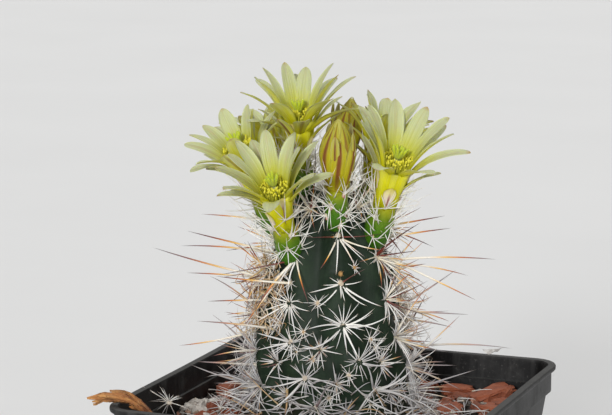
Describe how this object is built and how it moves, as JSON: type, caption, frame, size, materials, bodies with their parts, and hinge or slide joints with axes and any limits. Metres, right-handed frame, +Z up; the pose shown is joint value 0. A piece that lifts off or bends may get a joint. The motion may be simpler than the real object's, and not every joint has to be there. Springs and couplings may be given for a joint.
{
  "type": "potted cactus in bloom",
  "caption": "Short ribbed cactus with dense long spines and open funnel-shaped blooms, on gravel in a square tapered plastic pot.",
  "frame": {"origin": "centre of the pot's underside, on the surface that it stands on", "axes": "+Z up, X and Y across the pot's flat sides"},
  "size_m": [0.1196, 0.113, 0.2004],
  "materials": {
    "pot_plastic": "satin",
    "soil": "matte",
    "clay_gravel": "matte",
    "cactus_flesh": "satin",
    "flower_tube": "satin",
    "petals": "satin",
    "stamens": "matte",
    "stigma": "satin",
    "dry_petal": "matte",
    "spine": "satin"
  },
  "bodies": {
    "root": {"pot": "pot_plastic", "potting_soil": "soil", "gravel": "clay_gravel", "stem": "cactus_flesh", "flower_1_tube": "flower_tube", "flower_1_tepals": "petals", "flower_1_stamens": "stamens", "flower_1_stigma": "stigma", "flower_2_tube": "flower_tube", "flower_2_tepals": "petals", "flower_2_stamens": "stamens", "flower_2_stigma": "stigma", "flower_3_tube": "flower_tube", "flower_3_tepals": "petals", "flower_3_stamens": "stamens", "flower_3_stigma": "stigma", "flower_4_tube": "flower_tube", "flower_4_tepals": "petals", "flower_4_stamens": "stamens", "flower_4_stigma": "stigma", "flower_5_tube": "flower_tube", "flower_5_tepals": "petals", "flower_5_stamens": "stamens", "flower_5_stigma": "stigma", "flower_6_tube": "flower_tube", "flower_6_tepals": "petals", "flower_6_stamens": "stamens", "flower_6_stigma": "stigma", "bud_1_tube": "flower_tube", "bud_1_tepals": "petals", "bud_2_tube": "flower_tube", "bud_2_tepals": "petals", "dry_flower": "dry_petal", "fallen_spines": "spine"}
  },
  "joints": []
}
